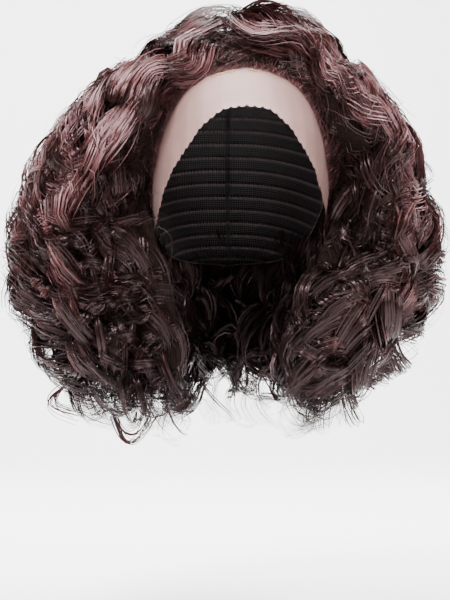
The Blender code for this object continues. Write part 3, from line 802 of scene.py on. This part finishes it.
def build_thread():
    """The thin gold thread in the lace just before the hairline, showing in three stretches."""
    points = []
    faces = []
    for low, high in THREAD_STRETCHES:
        azimuth = low + (high - low) * even_shares(THREAD_STEPS)
        polar = lace_polar(azimuth, "hairline") + THREAD_AHEAD + 0.25 * np.sin(azimuth * 1.3)
        middle = head_point(azimuth, polar, LACE_WALL + 0.0002)
        heading = unit(np.gradient(middle, axis=0))
        normal = unit(head_point(azimuth, polar, 0.02) - middle)
        sideways = np.cross(heading, normal)
        start = len(points)
        thick = THREAD_RADIUS * np.sin(math.pi * np.clip(even_shares(THREAD_STEPS), 0.06, 0.94)) ** 0.4
        for n in range(THREAD_STEPS + 1):
            for k in range(6):
                turn = math.radians(60 * k)
                ring = normal[n] * math.cos(turn) + sideways[n] * math.sin(turn)
                points.append(middle[n] + ring * thick[n])
        for n in range(THREAD_STEPS):
            for k in range(6):
                a, b = start + 6 * n + k, start + 6 * n + (k + 1) % 6
                faces.append((a, b, b + 6, a + 6))
        faces.append(tuple(start + k for k in range(5, -1, -1)))
        faces.append(tuple(start + 6 * THREAD_STEPS + k for k in range(6)))
    mesh = bpy.data.meshes.new("hairline_thread")
    mesh.from_pydata([tuple(point) for point in points], [], faces)
    material, tree, shader = new_material("gold_thread")
    twist = noise_node(tree, object_place(tree), 900.0, 1.0)
    gold = colour_ramp(tree, twist, [(0.35, (0.3, 0.17, 0.06)), (0.65, (0.85, 0.62, 0.26))])
    tree.links.new(gold, shader.inputs["Base Color"])
    set_inputs(shader, {"Roughness": 0.3})
    return build_piece("hairline_thread", mesh, material, "sheer_lace")


def build_cap():
    """The stretch cap: a net with rows of sewn wefts and a thicker hem round its edge."""
    azimuth = np.linspace(-180.0, 180.0, CAP_STEPS_ROUND, endpoint=False)[None, :]
    behind = polar_at_drop(CAP_DROP * between(CAP_ROWS, np.abs(azimuth), "edge"))
    edge = np.where(np.abs(azimuth) < LACE_END_AZIMUTH, lace_polar(azimuth, "seam"), behind)
    polar = edge * even_shares(CAP_STEPS)[1:, None]
    crown = np.full_like(azimuth, 0.02)
    polar = np.concatenate([crown, polar])
    azimuth = np.broadcast_to(azimuth, polar.shape)
    inner = head_point(azimuth, polar)
    down = travelled_along(inner)
    hem = 1.0 - ease((down[-1:] - down - HEM_WIDTH) / 0.002)
    outer = inner + outwards(azimuth, polar) * (CAP_THICKNESS + HEM_THICKENING * hem)[..., None]
    mesh = closed_sheet("cap", inner, outer, wraps=True)
    keep_net(mesh, np.radians(azimuth + 180.0) * CAP_RADIUS, down)
    keep_values(mesh, "hem", [hem.ravel()] * 2)
    cap = build_piece("cap", mesh, cap_material(), "cap_net", "cap_net")


def under_layer(section):
    """The mass of hair under the curls, near black as painted shade, as an outer and an inner grid closed
    at its rims.
    """
    columns, rows = 40, 60
    station = np.linspace(0.004, UNDER_END, rows + 1)
    low = np.full(rows + 1, section.start)
    high = np.full(rows + 1, section.end)
    if section.face == "right":
        high = np.minimum(face_limit(station, "right"), PARTING_AZIMUTH)
    if section.face == "left":
        low = np.maximum(face_limit(station, "left"), PARTING_AZIMUTH)
    across = even_shares(columns)
    azimuth = low[:, None] + (high - low)[:, None] * across[None, :]
    # The lower rim hangs in uneven points, as the tips of curls do
    angle = np.radians(azimuth)
    notch = 0.6 * np.abs(np.sin(9.0 * angle + 1.3)) + 0.4 * np.abs(np.sin(23.0 * angle))
    notch = UNDER_NOTCH * notch * (station[:, None] / UNDER_END) ** 4
    stations = station[:, None] * (1.0 - notch)
    inner = inner_point(azimuth, stations, CAP_WALL + 0.0008)
    outer = outer_point(azimuth, stations)
    # It thins out towards the face, low down and on top
    thin = np.ones_like(azimuth)
    if section.face:
        from_face = across if section.face == "left" else 1.0 - across
        thin = thin * (0.15 + 0.85 * ease(from_face / 0.3))
    thin = thin * (1.0 - 0.45 * (stations / UNDER_END) ** 6)
    thin = thin * (0.45 + 0.55 * ease((stations - 0.12) / 0.25))
    if section.face:
        # No thicker than the short roots right behind the hairline
        behind = ease((hairline_station(np.clip(azimuth, *WHOLE)) - stations) / 0.11)
        thin = thin * (1.0 - 0.94 * (1.0 - behind) * ease((0.44 - stations) / 0.08))
    outer = inner + (outer - inner) * (section.fill * thin)[..., None]
    grid = np.stack([outer, inner[:, ::-1]], axis=1).reshape(rows + 1, -1, 3)
    around_count = grid.shape[1]
    index = np.arange((rows + 1) * around_count).reshape(rows + 1, around_count)
    right = np.roll(index, -1, axis=1)
    quads = np.stack([index[:-1], right[:-1], right[1:], index[1:]], axis=-1).reshape(-1, 4)
    caps = []
    for edge in (index[0], index[-1]):
        half = around_count // 2
        flip = edge[::-1]
        rim = [edge[: half - 1], edge[1:half], flip[1:half], flip[: half - 1]]
        caps.append(np.stack(rim, axis=-1))
    quads = np.concatenate([quads, *caps])
    return smooth_mesh(section.name + "_inner", grid.reshape(-1, 3), quads)


def new_material(name):
    material = bpy.data.materials.new(name)
    material.use_nodes = True
    tree = material.node_tree
    return material, tree, tree.nodes["Principled BSDF"]


def set_inputs(node, values):
    for name, value in values.items():
        node.inputs[name].default_value = value


def colour_ramp(tree, value, stops):
    """The colour of a value from 0 to 1 on a ramp through these stops."""
    ramp = tree.nodes.new("ShaderNodeValToRGB")
    elements = ramp.color_ramp.elements
    while len(elements) < len(stops):
        elements.new(0.5)
    for element, (position, colour) in zip(elements, stops):
        element.position = position
        element.color = (*colour, 1.0)
    tree.links.new(value, ramp.inputs["Fac"])
    return ramp.outputs["Color"]


def maths(tree, operation, first, second):
    """A maths node; an input is a socket to link or a number."""
    node = tree.nodes.new("ShaderNodeMath")
    node.operation = operation
    for socket, value in zip(node.inputs, (first, second)):
        if isinstance(value, (int, float)):
            socket.default_value = value
        else:
            tree.links.new(value, socket)
    return node.outputs["Value"]


def plus(tree, value, share, other):
    """The value and a share of another one."""
    return maths(tree, "ADD", value, maths(tree, "MULTIPLY", other, share))


def noise_node(tree, vector, scale, detail, stretch=(1.0, 1.0, 1.0)):
    mapping = tree.nodes.new("ShaderNodeMapping")
    set_inputs(mapping, {"Scale": stretch})
    noise = tree.nodes.new("ShaderNodeTexNoise")
    set_inputs(noise, {"Scale": scale, "Detail": detail})
    tree.links.new(vector, mapping.inputs["Vector"])
    tree.links.new(mapping.outputs["Vector"], noise.inputs["Vector"])
    return noise.outputs["Fac"]


def attribute(tree, name, output="Fac"):
    """A value that is kept at the mesh's points."""
    node = tree.nodes.new("ShaderNodeAttribute")
    node.attribute_name = name
    return node.outputs[output]


def object_place(tree):
    return tree.nodes.new("ShaderNodeTexCoord").outputs["Object"]


def raise_surface(tree, shader, height, strength, distance):
    """Let the surface look as if this height stood out of it."""
    bump = tree.nodes.new("ShaderNodeBump")
    set_inputs(bump, {"Strength": strength, "Distance": distance})
    tree.links.new(height, bump.inputs["Height"])
    tree.links.new(bump.outputs["Normal"], shader.inputs["Normal"])
    return bump


def hair_material():
    """Dark plum-brown strands; each strip is drawn as a few finer hairs along its length."""
    material, tree, shader = new_material("curled_hair_strands")
    hairs = noise_node(tree, attribute(tree, "lie", "Vector"), 1.0, 1.0, (2600.0, 18.0, 900.0))
    patches = noise_node(tree, object_place(tree), 60.0, 2.0)
    varied = plus(tree, maths(tree, "MULTIPLY", attribute(tree, "tone"), 0.66), 0.6, hairs)
    varied = maths(tree, "SUBTRACT", plus(tree, varied, 0.2, patches), 0.2)
    # The pale mauve top stops are reached mostly where the tones carry painted highlights
    colour = colour_ramp(
        tree,
        varied,
        [
            (0.2, (0.008, 0.005, 0.004)),
            (0.38, (0.015, 0.007, 0.006)),
            (0.52, (0.034, 0.011, 0.01)),
            (0.66, (0.085, 0.028, 0.028)),
            (0.82, (0.19, 0.088, 0.092)),
            (1.0, (0.38, 0.25, 0.26)),
        ],
    )
    raise_surface(tree, shader, hairs, 0.7, 0.0004)
    tree.links.new(colour, shader.inputs["Base Color"])
    tree.links.new(attribute(tree, "across", "Vector"), shader.inputs["Tangent"])
    set_inputs(shader, {"Anisotropic": 0.8, "Roughness": 0.28, "Specular IOR Level": 0.32})
    set_inputs(shader, {"Specular Tint": (1.0, 0.66, 0.7, 1.0)})
    return material


def waves(tree, value, pitch):
    """From 0 to 1 and back over each pitch of a length in metres."""
    angle = maths(tree, "MULTIPLY", value, math.pi / pitch)
    return maths(tree, "ABSOLUTE", maths(tree, "SINE", angle, 0.0), 0.0)


def net_lengths(tree):
    """How far along and how far down its sheet a point is, in metres."""
    net = tree.nodes.new("ShaderNodeSeparateXYZ")
    tree.links.new(attribute(tree, "net", "Vector"), net.inputs["Vector"])
    return net.outputs["X"], net.outputs["Y"]


def lace_material():
    """Sheer pink-mauve net: paler over the forehead and deeper to the sides, partly its own tint and
    partly a painted highlight on the forehead under it; darker towards the hairline, partly its
    knots and partly painted shade under the hair.
    """
    material, tree, shader = new_material("sheer_lace_net")
    along, down = net_lengths(tree)
    slant = waves(tree, maths(tree, "ADD", along, down), LACE_NET_PITCH)
    counter = waves(tree, maths(tree, "SUBTRACT", along, down), LACE_NET_PITCH)
    holes = maths(tree, "MULTIPLY", slant, counter)
    cloud = noise_node(tree, object_place(tree), 45.0, 3.0)
    # Paler in the middle: partly the lace's tint, partly a painted highlight of the forehead under it
    side = plus(tree, attribute(tree, "to_side"), 0.25, cloud)
    side = plus(tree, side, 0.12, holes)
    mauve = colour_ramp(
        tree,
        side,
        [
            (0.25, (0.52, 0.345, 0.325)),
            (0.5, (0.35, 0.195, 0.175)),
            (0.74, (0.2, 0.095, 0.082)),
            (1.0, (0.13, 0.054, 0.046)),
        ],
    )
    # Darker towards the hairline: knots of hair, and painted shade under the hair
    knots = noise_node(tree, attribute(tree, "net", "Vector"), 1500.0, 1.0)
    past = plus(tree, attribute(tree, "past_hairline"), 0.003, knots)
    knots_and_painted_shade = colour_ramp(
        tree,
        maths(tree, "MULTIPLY", past, 60.0),
        [
            (0.04, (0.05, 0.03, 0.03)),
            (0.14, (0.32, 0.18, 0.18)),
            (0.3, (0.74, 0.6, 0.6)),
            (0.62, (1.0, 1.0, 1.0)),
        ],
    )
    mix = tree.nodes.new("ShaderNodeMix")
    mix.data_type = "RGBA"
    mix.blend_type = "MULTIPLY"
    mix.inputs[0].default_value = 1.0
    tree.links.new(mauve, mix.inputs[6])
    tree.links.new(knots_and_painted_shade, mix.inputs[7])
    tree.links.new(mix.outputs[2], shader.inputs["Base Color"])
    raise_surface(tree, shader, holes, 0.5, 0.0003).invert = True
    see_through = maths(tree, "MULTIPLY", holes, 0.22)
    tree.links.new(maths(tree, "SUBTRACT", 1.0, see_through), shader.inputs["Alpha"])
    set_inputs(shader, {"Roughness": 0.55, "Specular IOR Level": 0.35, "Sheen Weight": 0.15})
    return material


def cap_material():
    """Dark stretch net with sewn weft rows every 11 mm and a ribbed hem."""
    material, tree, shader = new_material("dark_stretch_net")
    along, down = net_lengths(tree)
    mesh_rows = waves(tree, down, CAP_NET_PITCH)
    mesh_lines = waves(tree, along, CAP_NET_PITCH)
    holes = maths(tree, "MULTIPLY", mesh_rows, mesh_lines)
    weft = waves(tree, maths(tree, "ADD", down, WEFT_PITCH / 2), WEFT_PITCH)
    weft = maths(tree, "POWER", weft, 10.0)
    stitch = maths(tree, "MULTIPLY", weft, waves(tree, along, STITCH_PITCH))
    ribs = maths(tree, "MULTIPLY", attribute(tree, "hem"), waves(tree, along, HEM_RIB_PITCH))
    height = plus(tree, maths(tree, "MULTIPLY", weft, 1.6), 0.8, stitch)
    height = maths(tree, "ADD", plus(tree, height, -0.45, holes), ribs)
    colour = colour_ramp(
        tree,
        maths(tree, "ADD", maths(tree, "MULTIPLY", height, 0.3), 0.18),
        [
            (0.0, (0.006, 0.005, 0.005)),
            (0.35, (0.02, 0.014, 0.015)),
            (0.75, (0.075, 0.05, 0.052)),
        ],
    )
    raise_surface(tree, shader, height, 0.9, 0.0009)
    tree.links.new(colour, shader.inputs["Base Color"])
    set_inputs(shader, {"Roughness": 0.6})
    return material


def painted_shade_under_material():
    """Almost black as painted shade: the deep hair seen only between the curls, with fine upright lines."""
    material, tree, shader = new_material("inner_hair_painted_shade")
    hairs = noise_node(tree, object_place(tree), 1.0, 3.0, (900.0, 900.0, 40.0))
    stops = [(0.35, (0.004, 0.003, 0.002)), (0.75, (0.018, 0.009, 0.008))]
    raise_surface(tree, shader, hairs, 0.8, 0.0015)
    tree.links.new(colour_ramp(tree, hairs, stops), shader.inputs["Base Color"])
    set_inputs(shader, {"Roughness": 0.9, "Specular IOR Level": 0.04})
    return material


# Sections of the hair between two azimuths: the side of the face, how much of the hair's depth
# the under-layer fills, and the seed of the curls
Section = namedtuple("Section", "name start end face fill seed")
SECTIONS = [
    Section(RIGHT, -SECTION_AZIMUTH, PARTING_AZIMUTH, "right", 0.62, 11),
    Section(LEFT, PARTING_AZIMUTH, SECTION_AZIMUTH, "left", 0.62, 22),
    Section(BACK_RIGHT, -180.0, -SECTION_AZIMUTH, None, 0.66, 33),
    Section(BACK_LEFT, SECTION_AZIMUTH, 180.0, None, 0.66, 50),
]


def build_hair():
    strands = hair_material()
    inner = painted_shade_under_material()
    for section in SECTIONS:
        name = section.name
        curls = ribbon_mesh(name + "_curls", section_strands(name, section.seed))
        build_piece(name + "_curls", curls, strands, "curled_hair", name)
        build_piece(name + "_inner", under_layer(section), inner, "curled_hair", name)
    for piece, node, seed in ((FACE_RIGHT, RIGHT, 55), (FACE_LEFT, LEFT, 66)):
        curls = ribbon_mesh(piece + "_curls", section_strands(piece, seed))
        build_piece(piece + "_curls", curls, strands, "curled_hair", node)
    loops = ribbon_mesh("loose_loops", loose_loops())
    build_piece("loose_loops", loops, strands, "curled_hair")
    roots = ribbon_mesh("hairline_roots", hairline_batches())
    build_piece("hairline_roots", roots, strands, "curled_hair")


def area_light(name, place, target, size, power):
    """A rectangular lamp that looks from its place to its target."""
    data = bpy.data.lights.new(name, "AREA")
    data.shape = "RECTANGLE"
    data.size, data.size_y = size
    data.energy = power
    lamp = new_object(name, data)
    lamp.location = place
    x, y, z = unit(np.subtract(target, place))
    lamp.rotation_euler = (math.acos(-z), 0.0, math.atan2(y, x) - math.pi / 2)


def build_studio():
    """A pale floor that bends up into a wall, white surroundings and four soft lamps."""
    bend = BACKDROP_BEND
    profile = [(-3.0, BACKDROP_FLOOR)]
    for angle in np.linspace(0.0, math.pi / 2, 12):
        y = BACKDROP_WALL - bend + bend * math.sin(angle)
        profile.append((y, BACKDROP_FLOOR + bend - bend * math.cos(angle)))
    profile.append((BACKDROP_WALL, 3.0))
    points = []
    for y, z in profile:
        points += [(-4.0, y, z), (4.0, y, z)]
    faces = [(2 * i, 2 * i + 1, 2 * i + 3, 2 * i + 2) for i in range(len(profile) - 1)]
    mesh = smooth_mesh("backdrop", points, faces)
    backdrop = new_object("backdrop", mesh)
    material, _, shader = new_material("pale_backdrop")
    set_inputs(shader, {"Base Color": (0.95, 0.95, 0.95, 1.0), "Roughness": 0.9})
    mesh.materials.append(material)

    world = bpy.data.worlds.new("studio")
    bpy.context.scene.world = world
    world.use_nodes = True
    white = {"Color": (1.0, 1.0, 1.0, 1.0), "Strength": 0.5}
    set_inputs(world.node_tree.nodes["Background"], white)
    middle = (0.0, 0.0, -0.15)
    area_light("key", (-0.7, -1.15, 1.35), middle, (0.5, 0.5), 74.0)
    area_light("fill", (1.3, -1.2, 0.3), middle, (0.7, 0.7), 30.0)
    area_light("top", (0.1, -0.1, 1.3), middle, (0.8, 0.8), 42.0)
    area_light("wall", (0.0, 0.5, 0.9), (0.0, 1.8, -0.2), (2.0, 0.6), 135.0)


def build_camera():
    data = bpy.data.cameras.new("camera")
    data.sensor_fit = "HORIZONTAL"
    data.sensor_width = 36.0
    data.lens = 36.0 * CAMERA_DISTANCE / FRAME_WIDTH
    camera = new_object("camera", data)
    angle = math.radians(CAMERA_AZIMUTH)
    back = np.array([math.sin(angle), -math.cos(angle), 0.0])
    right = np.array([math.cos(angle), math.sin(angle), 0.0])
    target = right * CAMERA_SIDE + np.array([0.0, 0.0, CAMERA_LEVEL])
    camera.location = target + back * CAMERA_DISTANCE
    camera.rotation_euler = (math.pi / 2, 0.0, angle)
    bpy.context.scene.camera = camera


build_hair()
build_lace()
build_cap()
build_studio()
build_camera()
